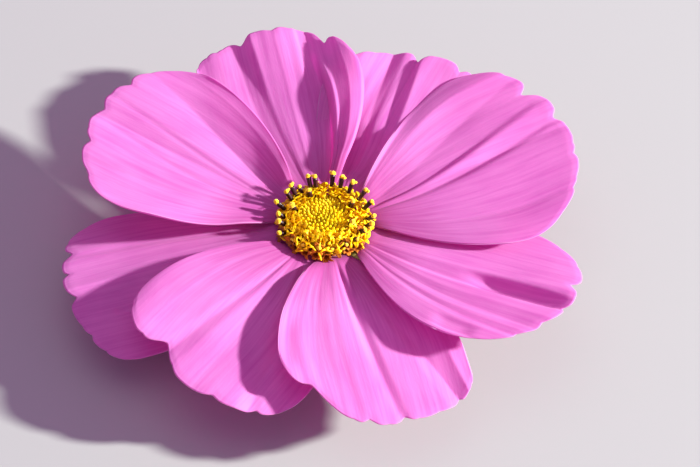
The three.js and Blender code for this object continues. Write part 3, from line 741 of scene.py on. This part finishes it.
def make_petal(petal, number, look, material):
    """One petal's blade, in place of its solid."""
    rng = np.random.default_rng(PETAL_SEED + number)
    columns = np.linspace(-1, 1, PETAL_COLUMNS)
    rows = np.unique(np.concatenate([np.linspace(*band) for band in PETAL_BANDS]))
    along, across = np.meshgrid(rows, columns, indexing="ij")

    side = np.sin(across * math.pi / 2)
    ripple = look.ripple_height * waves(rng, side, 1.5, 6, 6)
    vein_rng = np.random.default_rng(VEIN_SEED + number)
    ripple += look.vein_height * waves(vein_rng, side, 0.2 * look.vein_count, 0.6 * look.vein_count, 5)
    # Rounded lobes with small sharp notches between them.
    lobes = np.minimum(np.abs(waves(rng, across, 1.0, 2.6, 3)), 1)
    teeth = look.tooth_depth * (1 - lobes) ** 1.5
    # The tip undulates: a slow wave that grows over the last third of the blade.
    undulation = TIP_WAVE * waves(rng, across, 0.6, 1.6, 2) * smooth(0.6, 1.0, along)
    beside_disc = smooth(0.16, 0.24, along) * (1 - smooth(0.24, 0.6, along))
    pleats = look.pleat_height * waves(rng, side, 5, 9, 3) * beside_disc
    relief = ripple + undulation + pleats
    centre, run, length = petal_surface(petal, along, across, teeth, relief, look.fold_share)

    middle = smooth(0, 1, inward(run, length, across, THIN_MARGIN))
    points, faces = thickened(centre, look.rim_thickness + (look.thickness - look.rim_thickness) * middle)
    rim = 1 - np.clip(inward(run, length, across, PALE_MARGIN), 0, 1)
    values = {key: np.tile(grid.ravel(), 2) for key, grid in (("side", side), ("run", run), ("rim", rim))}
    values["under"] = np.repeat([0.0, 1.0], along.size)
    values["seed"] = np.full(2 * along.size, float(number))
    settle(add_mesh(petal.name + "_blade", points, faces, material, values), petal.name)


# The disc.

PARTS = 5  # ribs and lobes of every floret
STRAP_THICKNESS = 0.13
STYLE_RADIUS = 0.15
# A bud's heights, as shares of the whole, and how wide it is there.
BUD_HEIGHTS = np.array([0.0, 0.25, 0.45, 0.6, 0.73, 0.85, 0.95, 1.0])
BUD_RADII = np.array([0.8, 0.95, 1.0, 0.9, 0.73, 0.5, 0.25, 0.06])
# A goblet's outside, lip and hollow: radius and height, as shares.
GOBLET = (
    (0.5, 0.0), (0.45, 0.35), (0.62, 0.6), (0.92, 0.85), (1.0, 1.0), (0.88, 0.98), (0.74, 0.8),
    (0.4, 0.6), (0.05, 0.55),
)
# What the buds stand on: radius and height.
DISC_CORE = (
    (0.05, SEAT_Z), (3.9, SEAT_Z), (3.9, 8.4), (4.25, 9.4), (4.9, 10.4), (5.2, 10.9), (5.0, 11.3),
    (4.0, 11.7), (2.4, 12.0), (0.05, 12.2),
)


def make_bud(radius, height):
    """A closed floret: five ribs that meet in a point."""
    sides = 3 * PARTS
    profile = np.stack([radius * BUD_RADII, height * BUD_HEIGHTS], -1)
    points, faces = turned(profile, sides, ribs=PARTS, rib_depth=0.45 * BUD_HEIGHTS)
    return points, faces, np.repeat(BUD_HEIGHTS, sides)


def make_strap(foot, length, width, bend, twist):
    """A narrow pointed lobe that starts at foot (radius, height) and bends back between two angles."""
    rows, columns = 9, 5
    share = np.linspace(0, 1, rows)
    lean = np.radians(bend[0] + (bend[1] - bend[0]) * share)
    step = length / (rows - 1)
    r = foot[0] + np.concatenate([[0], np.cumsum(np.sin(lean[:-1]) * step)])
    z = foot[1] + np.concatenate([[0], np.cumsum(np.cos(lean[:-1]) * step)])
    half_width = width / 2 * (1 - share**2.2) ** 0.7 + 0.03
    across = np.linspace(-1, 1, columns)
    side = half_width[:, None] * across
    cup = 0.25 * half_width[:, None] * across**2
    roll = twist * share[:, None]
    normal_r, normal_z = -np.cos(lean)[:, None], np.sin(lean)[:, None]
    lift = cup + side * np.sin(roll)
    centre = np.stack([r[:, None] + normal_r * lift, side * np.cos(roll), z[:, None] + normal_z * lift], -1)
    thick = STRAP_THICKNESS * (1 - 0.5 * share)[:, None] * (0.6 + 0.4 * (1 - across**2))
    half = np.stack([normal_r * thick / 2, 0 * thick, normal_z * thick / 2], -1)
    points, faces = sheet_solid(centre, half)
    return points, faces, np.tile(np.repeat(share, columns), 2)


def make_goblet(length, mouth):
    """The tube of an open floret, with its hollow mouth."""
    sides = 4 * PARTS
    points, faces = turned([(mouth * r, length * z) for r, z in GOBLET], sides, ribs=PARTS, rib_depth=0.12)
    return points, faces, np.repeat([z for r, z in GOBLET], sides)


def make_column(bottom, top, radius):
    """A ribbed anther column that widens towards its mouth."""
    sides = 3 * PARTS
    share = np.linspace(0, 1, 9)
    profile = [(radius * (0.62 + 0.38 * s), bottom + (top - bottom) * s) for s in share]
    points, faces = turned(profile, sides, ribs=PARTS, rib_depth=0.25)
    return points, faces, np.repeat(share, sides)


def make_ball(radius, rng):
    """Pollen pushed out of a column: a ball of clotted grains."""
    rings, sides = 16, 24
    clots, between, lumps = 30, 0.85, 0.3
    polar = np.linspace(0.1, math.pi - 0.1, rings)
    angles = np.linspace(0, 2 * math.pi, sides, endpoint=False)
    p, a = np.meshgrid(polar, angles, indexing="ij")
    unit = np.stack([np.sin(p) * np.cos(a), np.sin(p) * np.sin(a), -np.cos(p)], -1).reshape(-1, 3)
    swell = np.full(len(unit), between)
    for _ in range(clots):
        direction = rng.normal(size=3)
        direction /= np.linalg.norm(direction)
        near = np.clip((unit @ direction - 0.82) / 0.18, 0, 1)
        swell = np.maximum(swell, between + lumps * rng.uniform(0.5, 1.0) * near**0.7)
    stretch = rng.uniform(0.85, 1.15, 3)
    return unit * (radius * swell)[:, None] * stretch, ring_faces(rings, sides)


def make_style(length, curl, rng):
    """A style that forks into two arms which roll back; returns its three tubes."""
    sides, steps = 7, 10
    fork = 0.45 * length
    taper = np.linspace(STYLE_RADIUS, 0.75 * STYLE_RADIUS, steps + 1)
    shapes = [tube([(0, 0, fork * s) for s in np.linspace(0, 1.05, 4)], [STYLE_RADIUS] * 4, sides)]
    for sign in (-1, 1):
        turn = np.linspace(0.3, curl * rng.uniform(0.85, 1.15), steps + 1)
        step = 0.55 * length * rng.uniform(0.9, 1.3) / steps
        x = sign * np.concatenate([[0], np.cumsum(np.sin(turn[:-1]) * step)])
        z = fork + np.concatenate([[0], np.cumsum(np.cos(turn[:-1]) * step)])
        y = rng.uniform(-0.2, 0.2) * np.linspace(0, 1, steps + 1) ** 2
        shapes.append(tube(np.stack([x, y, z], -1), taper, sides))
    return shapes


class COSMOS_OT_petals(bpy.types.Operator):
    """Build the ray petals, each with its own folds, teeth and veins"""

    bl_idname = "cosmos.petals"
    bl_label = "Petals"

    def execute(self, context):
        look = context.scene.cosmos_petals
        material = petal_material(look)
        for number, petal in enumerate(PETALS):
            make_petal(petal, number, look, material)
        return {"FINISHED"}


class COSMOS_OT_buds(bpy.types.Operator):
    """Build the disc's core and the closed buds on its dome"""

    bl_idname = "cosmos.buds"
    bl_label = "Disc buds"

    def execute(self, context):
        look = context.scene.cosmos_disc
        rng = np.random.default_rng(BUD_SEED)
        # Closed corollas have a thick waxy skin: a soft broad shine, and points that light glows in.
        material = plain_tissue("bud tissue, waxy", look.bud_foot, look.bud, 0.6, through=0.3, spread=0.3)
        heap = Heap()
        points, faces = turned(DISC_CORE, 48)
        heap.add(points, faces, along=0.1, tone=0.2)
        for n in range(look.bud_count):
            r = look.bud_spread * (n + 0.4) ** 0.53
            height = 1.6 + 0.03 * r * r + rng.uniform(-0.15, 0.15)
            lean = 5.0 * r
            top = DISC_TOP_Z + 0.02 - DOME_FALL * r * r
            foot = (r - height * math.sin(math.radians(lean)) * 0.6, top - height * 0.95, lean)
            radius = (look.bud_radius + 0.035 * r) * rng.uniform(0.9, 1.08)
            points, faces, along = make_bud(radius, height)
            # The youngest, in the middle, keep more of the foot's colour.
            ripe = 0.45 + 0.55 * smooth(0.5, 3.0, r)
            points = planted(points, n * GOLDEN_ANGLE, foot, rng.uniform(0, 6))
            heap.add(points, faces, along=along * ripe, tone=rng.uniform(0, 1))
        settle(heap.make("disc_buds", material), "disc_florets")
        return {"FINISHED"}


class FloretHeaps:
    """Gathers the parts of the open florets, one heap for each tissue."""

    def __init__(self, look, rng):
        self.look = look
        self.rng = rng
        self.corollas = Heap()
        self.withered = Heap()
        self.columns = Heap()
        self.pollen = Heap()
        self.styles = Heap()

    def add_corolla(self, az, ring, mouth, lobe, heap=None, ragged=0.25):
        """A goblet with five strap lobes, each bent back by its own angle."""
        rng = self.rng
        heap = heap or self.corollas
        spin = rng.uniform(0, 2 * math.pi)
        tone = rng.uniform(0, 1)
        points, faces, along = make_goblet(ring[3], mouth)
        heap.add(planted(points, az, ring, spin), faces, along=0.6 * along, tone=tone)
        for k in range(PARTS):
            bend = (rng.uniform(0, 20), rng.uniform(90, 165))
            length = lobe * rng.uniform(1 - ragged, 1 + ragged)
            twist = rng.uniform(-1, 1) * 2 * ragged
            foot = (mouth * 0.9, ring[3] * 0.94)
            points, faces, along = make_strap(foot, length, mouth * 1.45, bend, twist)
            turn = spin + (k + rng.uniform(-ragged, ragged) * 0.5) * 2 * math.pi / PARTS
            heap.add(planted(points, az, ring, turn), faces, along=0.6 + 0.4 * along, tone=tone)

    def add_anther(self, az, ring, top, share=1.0):
        """A dark column with its ball of pollen, and now and then a second smaller clot."""
        rng = self.rng
        spin = rng.uniform(0, 6)
        radius = share * self.look.pollen_radius * rng.uniform(0.85, 1.08)
        points, faces, along = make_column(ring[3] * 0.5, top - 0.15, ANTHER_RADIUS)
        self.columns.add(planted(points, az, ring, spin), faces, along=along, tone=rng.uniform(0, 1))
        tone = rng.uniform(0, 1)
        clots = [(radius, (0, 0, top))]
        if rng.uniform() < 0.6:
            clots.append((radius * 0.6, (0.45 * rng.choice([-1, 1]), 0.3 * rng.uniform(-1, 1), top + 0.05)))
        for clot_radius, place in clots:
            points, faces = make_ball(clot_radius, rng)
            # Painted shade: the ball takes the deeper yellow towards its bottom and the pollen colour at its
            # top.
            height = np.clip(0.5 + points[:, 2] / (2 * clot_radius), 0, 1)
            self.pollen.add(planted(points + place, az, ring, spin), faces, along=height, tone=tone)

    def add_style(self, az, ring, start, length, curl):
        """A forked style, from start along the floret's own axis."""
        rng = self.rng
        spin = rng.uniform(0, 6)
        tone = rng.uniform(0, 1)
        for points, faces in make_style(length, curl, rng):
            self.styles.add(planted(points + (0, 0, start), az, ring, spin), faces, along=1.0, tone=tone)


def leaned(ring, lean):
    """A ring's numbers with another lean."""
    return (ring[0], ring[1], lean, ring[3])


class COSMOS_OT_florets(bpy.types.Operator):
    """Build the open florets, their anther columns, pollen and styles"""

    bl_idname = "cosmos.florets"
    bl_label = "Open florets"

    def execute(self, context):
        look = context.scene.cosmos_disc
        rng = np.random.default_rng(FLORET_SEED)
        heaps = FloretHeaps(look, rng)

        for i in range(INNER_COUNT):
            az = i * 360 / INNER_COUNT
            ring = leaned(INNER_RING, INNER_RING[2] + rng.uniform(-5, 5))
            heaps.add_corolla(az, ring, mouth=0.5, lobe=0.8)
            if i in INNER_ANTHERS:
                heaps.add_anther(az, ring, INNER_ANTHERS[i])
            else:
                heaps.add_style(az, ring, start=1.5, length=1.0, curl=2.6)
        for i in range(MIDDLE_COUNT):
            az = (i + MIDDLE_FIRST) * 360 / MIDDLE_COUNT
            ring = leaned(MIDDLE_RING, MIDDLE_RING[2] + rng.uniform(-5, 5))
            heaps.add_corolla(az, ring, mouth=0.5, lobe=0.9)
            heaps.add_style(az, ring, start=1.8, length=1.3, curl=2.8)
        for az, lean, top in STANDING_ANTHERS:
            ring = leaned(OUTER_RING, lean)
            heaps.add_corolla(az, ring, mouth=0.52, lobe=0.85)
            heaps.add_anther(az, ring, top)
        for i, (az, lean, top) in enumerate(FRONT_ANTHERS):
            ring = leaned(OUTER_RING, lean)
            heap = heaps.corollas if i % 2 == 1 else heaps.withered
            heaps.add_corolla(az, ring, mouth=0.5, lobe=0.85, heap=heap, ragged=0.6)
            heaps.add_anther(az, ring, top, FRONT_POLLEN)
            for turn in (-9, 8):
                heaps.add_style(az + turn, ring, start=2.0, length=1.9, curl=3.4)
        for i in range(SPENT_COUNT):
            az = SPENT_FIRST_AZ + i * 360 / SPENT_COUNT
            ring = leaned(SPENT_RING, SPENT_RING[2] + rng.uniform(-14, 12))
            front = SPENT_FRONT[0] < az % 360 < SPENT_FRONT[1]
            heap = heaps.withered if front else heaps.corollas
            heaps.add_corolla(az, ring, mouth=0.5, lobe=0.95, heap=heap, ragged=0.6)
            if front and i % 2 == 0:
                heaps.add_style(az + 6, ring, start=1.9, length=1.7, curl=3.6)

        # Open corollas are thin and moist: a satin shine, and lobes that light comes through.
        # The foot colour darkens their tubes and mouths with painted shade.
        open_tissue = plain_tissue(
            "corolla tissue, satin", look.painted_yellow_shade, look.open_floret, 0.45, through=0.35, spread=0.2
        )
        # Withered ones have dried out: dull and blotchy, and no light comes through.
        withered_tissue = plain_tissue(
            "withered tissue, dull", look.withered_foot, look.withered_floret, 0.7, spread=0.55
        )
        # Anther walls are smooth and taut: small glints on near black.
        anther_tissue = plain_tissue("anther wall, glossy", look.anther, look.anther, 0.35, spread=0.4)
        # Pollen is a clinging powder: no glint, and a faint bloom at its outline.
        # Its foot colour is painted shade on the lower side of each ball.
        pollen_grains = plain_tissue(
            "pollen, powdery", look.painted_yellow_shade, look.pollen, 0.9, spread=0.2, grain=POLLEN_GRAIN, sheen=0.3
        )
        pieces = (
            ("open_florets", heaps.corollas, open_tissue),
            ("withered_florets", heaps.withered, withered_tissue),
            ("anther_columns", heaps.columns, anther_tissue),
            ("pollen_balls", heaps.pollen, pollen_grains),
            ("curled_styles", heaps.styles, open_tissue),
        )
        for name, heap, material in pieces:
            settle(heap.make(name, material), "disc_florets")
        return {"FINISHED"}


# Bracts and stalk.

# Tips of inner bracts: distance, height and half-width.
LONG_TIP = ((5.87, 7.25, 1.7), (6.0, 8.0, 1.45), (6.4, 8.7, 0.95), (7.15, 9.4, 0.12))
FRONT_TIP = (
    (5.87, 7.25, 1.7), (6.0, 8.3, 1.5), (6.35, 9.5, 1.05), (7.1, 10.15, 0.75), (8.1, 10.28, 0.5),
    (9.1, 10.3, 0.12),
)
SHORT_TIP = ((5.87, 7.25, 1.6), (5.95, 7.9, 1.2), (6.15, 8.3, 0.75), (6.5, 8.75, 0.12))
WIDE_GAP = 45.5  # degrees between two petals from which a tip is long
FRONT_TIP_PETAL = "petal_7"  # the one tip that comes out over the petals stands after this one
# Where the inner bracts are grown together: radius and height round the ring's section.
BRACT_RING = (
    (5.6, SEAT_Z), (6.15, SEAT_Z), (6.17, 7.5), (6.12, 7.85), (5.95, 7.95), (5.7, 7.9), (5.6, 7.5),
)
# An outer bract, like the tips.
OUTER_BRACT = (
    (2.9, 4.4, 1.35), (4.4, 4.4, 1.65), (6.0, 3.8, 1.8), (7.4, 2.6, 1.6), (8.7, 1.1, 1.2),
    (9.5, 0.35, 0.85), (10.1, 0.33, 0.6), (10.8, 0.3, 0.12),
)
OUTER_BRACT_COUNT = 8
OUTER_BRACT_FIRST_AZ = 22.5
# The stub of stalk and the receptacle: radius and height.
RECEPTACLE = (
    (0.02, 0.0), (1.22, 0.0), (1.3, 0.06), (1.3, 1.0), (1.32, 1.9), (1.5, 2.5), (2.0, 3.1), (2.9, 3.7),
    (4.3, 4.5), (5.3, 5.2), (6.0, 5.95), (6.28, 6.5), (6.25, 6.88), (0.02, RECEPTACLE_TOP_Z),
)


def eased(stations, count):
    """Evenly spread stations on a smooth curve through the given ones."""
    stations = np.asarray(stations, float)
    places = np.linspace(0, len(stations) - 1, count)
    i = np.clip(places.astype(int), 0, len(stations) - 2)
    t = (places - i)[:, None]
    before = stations[np.maximum(i - 1, 0)]
    start, stop = stations[i], stations[i + 1]
    after = stations[np.minimum(i + 2, len(stations) - 1)]
    return 0.5 * (
        2 * start + (stop - before) * t + (2 * before - 5 * start + 4 * stop - after) * t**2
        + (3 * start - before - 3 * stop + after) * t**3
    )


def make_blade(stations, thickness, keel, edge_wave=0.0, count=36):
    """A leaf-like blade along stations of (distance, height, half-width), keeled along its middle."""
    path = eased(stations, count)
    columns = np.linspace(-1, 1, 21)
    share = np.linspace(0, 1, count)
    along, across = np.meshgrid(share, columns, indexing="ij")
    r, z, half_width = (path[:, k][:, None] for k in range(3))
    fade = 1 - smooth(0.55, 0.8, along)
    y = np.maximum(half_width, 0.08) * across
    lift = keel * fade * (np.abs(across) - 0.5) - 0.12 * fade * np.exp(-((across / 0.12) ** 2))
    wave = edge_wave * np.sin(9 * along) * across**2 * fade
    centre = np.stack([r + 0 * across, y, z + lift + wave], -1)
    points, faces = thickened(centre, thickness * (0.45 + 0.55 * (1 - across**2)))
    return points, faces, np.tile(along.ravel(), 2)


class COSMOS_OT_inner_bracts(bpy.types.Operator):
    """Build the ring of thin inner bracts that stands behind the petals' claws"""

    bl_idname = "cosmos.inner_bracts"
    bl_label = "Inner bracts"

    def execute(self, context):
        look = context.scene.cosmos_green
        rng = np.random.default_rng(INNER_BRACT_SEED)
        heap = Heap()
        points, faces = turned(BRACT_RING, 64, looped=True)
        heap.add(points, faces, along=0.1, tone=0.5)
        for petal, following in zip(PETALS, PETALS[1:] + PETALS[:1]):
            turn = (following.az - petal.az) % 360
            tip = LONG_TIP if turn > WIDE_GAP else SHORT_TIP
            if petal.name == FRONT_TIP_PETAL:
                tip = FRONT_TIP
            points, faces, along = make_blade(tip, thickness=0.34, keel=0.0, count=24)
            heap.add(turn_z(points, petal.az + turn / 2), faces, along=along, tone=rng.uniform(0.2, 0.8))
        # Inner bracts are thin, dry membranes: smooth, and pale where light comes through.
        material = plain_tissue(
            "bract membrane, thin", look.membrane_vein, look.membrane, 0.45, through=0.4, spread=0.2
        )
        settle(heap.make("inner_bract_ring", material), "inner_bracts")
        return {"FINISHED"}


class COSMOS_OT_calyx(bpy.types.Operator):
    """Build the stub of stalk, the receptacle and the spreading outer bracts"""

    bl_idname = "cosmos.calyx"
    bl_label = "Stalk and outer bracts"

    def execute(self, context):
        look = context.scene.cosmos_green
        rng = np.random.default_rng(OUTER_BRACT_SEED)
        heap = Heap()
        points, faces = turned(eased(RECEPTACLE, 60), 72, ribs=16, rib_depth=0.03)
        heap.add(points, faces, along=np.clip(points[:, 2] / RECEPTACLE_TOP_Z, 0, 1), tone=0.5)
        for i in range(OUTER_BRACT_COUNT):
            points, faces, along = make_blade(OUTER_BRACT, thickness=0.5, keel=0.25, edge_wave=0.06)
            points[:, 2] = np.maximum(points[:, 2], 0.0)
            az = OUTER_BRACT_FIRST_AZ + i * 360 / OUTER_BRACT_COUNT
            heap.add(turn_z(points, az), faces, along=0.7 + 0.3 * along, tone=rng.uniform(0.2, 0.8))
        # Stalk and outer bracts are firm and leathery: an even, low shine.
        material = plain_tissue("green bract, leathery", look.stalk, look.bract, 0.5)
        settle(heap.make("stalk_and_bracts", material), "stalk_and_outer_bracts")
        return {"FINISHED"}


# Stage.

FRAME_WIDTH_PX = 700
FRAME_HEIGHT_PX = 467
FLOWER_SCALE = 6.6  # pixels for a millimetre at the flower
FLOWER_CENTRE_PX = (325.0, 225.0)  # where the middle of the petals' plane falls in the frame
PLANE_Z = 10.2
SENSOR_MM = 36.0
FLOOR_REACH = 3000.0
KEY_PLACE = (1655, -87, 713)  # low on the right, as the light in the photograph
KEY_SIZE = 110
OVERHEAD_PLACE = (-60, 100, 700)
OVERHEAD_SIZE = 700
SURROUND = (0.86, 0.46, 1.0)  # linear; its violet gives the petals' shadows their colour
SURROUND_STRENGTH = 0.53


def add_area_light(name, place, target, width, power):
    """A round soft light that faces the target."""
    data = bpy.data.lights.new(name, "AREA")
    data.shape = "DISK"
    data.size = width * MM
    data.energy = power
    light = bpy.data.objects.new(name, data)
    light.location = Vector(place) * MM
    light.rotation_euler = (Vector(target) - Vector(place)).to_track_quat("-Z", "Y").to_euler()
    bpy.context.scene.collection.objects.link(light)


class COSMOS_OT_stage(bpy.types.Operator):
    """Set the floor, the soft lights and the camera"""

    bl_idname = "cosmos.stage"
    bl_label = "Stage"

    def execute(self, context):
        look = context.scene.cosmos_stage
        corners = [(x * FLOOR_REACH, y * FLOOR_REACH, 0) for x, y in ((-1, -1), (1, -1), (1, 1), (-1, 1))]
        floor = add_mesh("floor", corners, [(0, 1, 2, 3)], floor_material(look), smooth_faces=False)

        target = (0, 0, PLANE_Z)
        add_area_light("key_softbox", KEY_PLACE, target, KEY_SIZE, look.key_power)
        add_area_light("overhead_softbox", OVERHEAD_PLACE, target, OVERHEAD_SIZE, look.fill_power)

        world = bpy.data.worlds.new("studio")
        world.use_nodes = True
        background = world.node_tree.nodes["Background"]
        background.inputs["Color"].default_value = rgba(SURROUND)
        background.inputs["Strength"].default_value = SURROUND_STRENGTH
        context.scene.world = world
        context.scene.view_settings.view_transform = "Standard"

        back = Vector((0, -math.cos(look.elevation), math.sin(look.elevation)))
        camera_data = bpy.data.cameras.new("camera")
        camera_data.sensor_width = SENSOR_MM
        camera_data.lens = FLOWER_SCALE * look.distance * SENSOR_MM / FRAME_WIDTH_PX
        camera_data.shift_x = (FRAME_WIDTH_PX / 2 - FLOWER_CENTRE_PX[0]) / FRAME_WIDTH_PX
        camera_data.shift_y = (FLOWER_CENTRE_PX[1] - FRAME_HEIGHT_PX / 2) / FRAME_WIDTH_PX
        camera_data.clip_start = 0.01
        camera = bpy.data.objects.new("camera", camera_data)
        camera.location = (Vector(target) + back * look.distance) * MM
        camera.rotation_euler = (-back).to_track_quat("-Z", "Y").to_euler()
        context.scene.collection.objects.link(camera)
        context.scene.camera = camera
        return {"FINISHED"}


class COSMOS_PT_panel(bpy.types.Panel):
    """Lists the flower's pieces and their sizes and colours"""

    bl_idname = "COSMOS_PT_panel"
    bl_label = "Cosmos flower head"
    bl_space_type = "VIEW_3D"
    bl_region_type = "UI"
    bl_category = "Cosmos"

    def draw(self, context):
        for group, operators in PANEL_ROWS:
            settings = getattr(context.scene, group)
            box = self.layout.box()
            for name in type(settings).__annotations__:
                box.prop(settings, name)
            for operator in operators:
                box.operator(operator)


PANEL_ROWS = (
    ("cosmos_petals", ("cosmos.petals",)),
    ("cosmos_disc", ("cosmos.buds", "cosmos.florets")),
    ("cosmos_green", ("cosmos.inner_bracts", "cosmos.calyx")),
    ("cosmos_stage", ("cosmos.stage",)),
)
SETTINGS = {
    "cosmos_petals": PetalSettings,
    "cosmos_disc": DiscSettings,
    "cosmos_green": GreenSettings,
    "cosmos_stage": StageSettings,
}
CLASSES = (
    *SETTINGS.values(),
    COSMOS_OT_petals,
    COSMOS_OT_buds,
    COSMOS_OT_florets,
    COSMOS_OT_inner_bracts,
    COSMOS_OT_calyx,
    COSMOS_OT_stage,
    COSMOS_PT_panel,
)


def register():
    """Adds the classes and their settings."""
    for cls in CLASSES:
        bpy.utils.register_class(cls)
    for name, cls in SETTINGS.items():
        setattr(bpy.types.Scene, name, PointerProperty(type=cls))


def unregister():
    """Takes them out again."""
    for name in SETTINGS:
        delattr(bpy.types.Scene, name)
    for cls in reversed(CLASSES):
        bpy.utils.unregister_class(cls)


def main():
    """Builds the flower and its stage."""
    register()
    bpy.ops.cosmos.petals()
    bpy.ops.cosmos.buds()
    bpy.ops.cosmos.florets()
    bpy.ops.cosmos.inner_bracts()
    bpy.ops.cosmos.calyx()
    bpy.ops.cosmos.stage()


if __name__ == "__main__":
    main()
